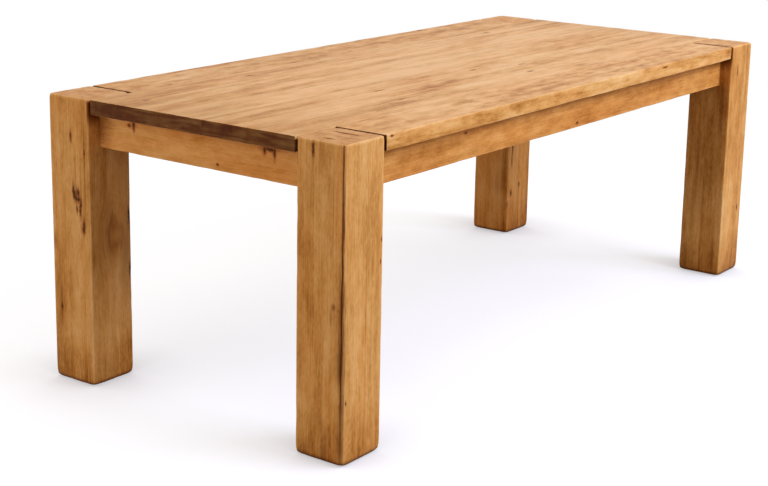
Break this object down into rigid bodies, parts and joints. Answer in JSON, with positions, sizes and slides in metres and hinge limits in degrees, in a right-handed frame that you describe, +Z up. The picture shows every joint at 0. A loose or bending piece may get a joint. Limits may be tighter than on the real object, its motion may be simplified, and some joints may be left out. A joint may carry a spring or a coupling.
{
  "type": "outdoor dining table",
  "caption": "Long wooden dining table with thick square posts that rise through notched corners of a plank top, flush with its surface, and aprons set back between the posts.",
  "frame": {"origin": "on the floor, under the middle of the table top", "axes": "+X along the table, +Y across it to the back, +Z up"},
  "size_m": [2.1, 0.95, 0.75],
  "materials": {
    "post_wood": "oiled, worn",
    "top_wood": "sanded, satin",
    "apron_wood": "oiled",
    "batten_wood": "planed, raw",
    "zinc_steel": "zinc plated",
    "nylon": "moulded"
  },
  "bodies": {
    "root": {"leg_front_left": "post_wood", "leg_front_right": "post_wood", "leg_back_right": "post_wood", "leg_back_left": "post_wood", "edge_plank_front": "top_wood", "edge_plank_back": "top_wood", "top_plank_1": "top_wood", "top_plank_2": "top_wood", "top_plank_3": "top_wood", "top_plank_4": "top_wood", "top_plank_5": "top_wood", "top_plank_6": "top_wood", "top_plank_7": "top_wood", "apron_front": "apron_wood", "apron_back": "apron_wood", "apron_left_end": "apron_wood", "apron_right_end": "apron_wood", "cross_batten_left": "batten_wood", "cross_batten_middle": "batten_wood", "cross_batten_right": "batten_wood", "corner_bracket_front_left": "zinc_steel", "corner_bracket_front_right": "zinc_steel", "corner_bracket_back_right": "zinc_steel", "corner_bracket_back_left": "zinc_steel", "hanger_bolts": "zinc_steel", "bolt_washers": "zinc_steel", "hex_nuts": "zinc_steel", "bracket_screws": "zinc_steel", "batten_screws": "zinc_steel", "side_clips": "zinc_steel", "side_clip_screws": "zinc_steel", "end_clips": "zinc_steel", "end_clip_screws": "zinc_steel", "leg_glides": "nylon"}
  },
  "joints": []
}
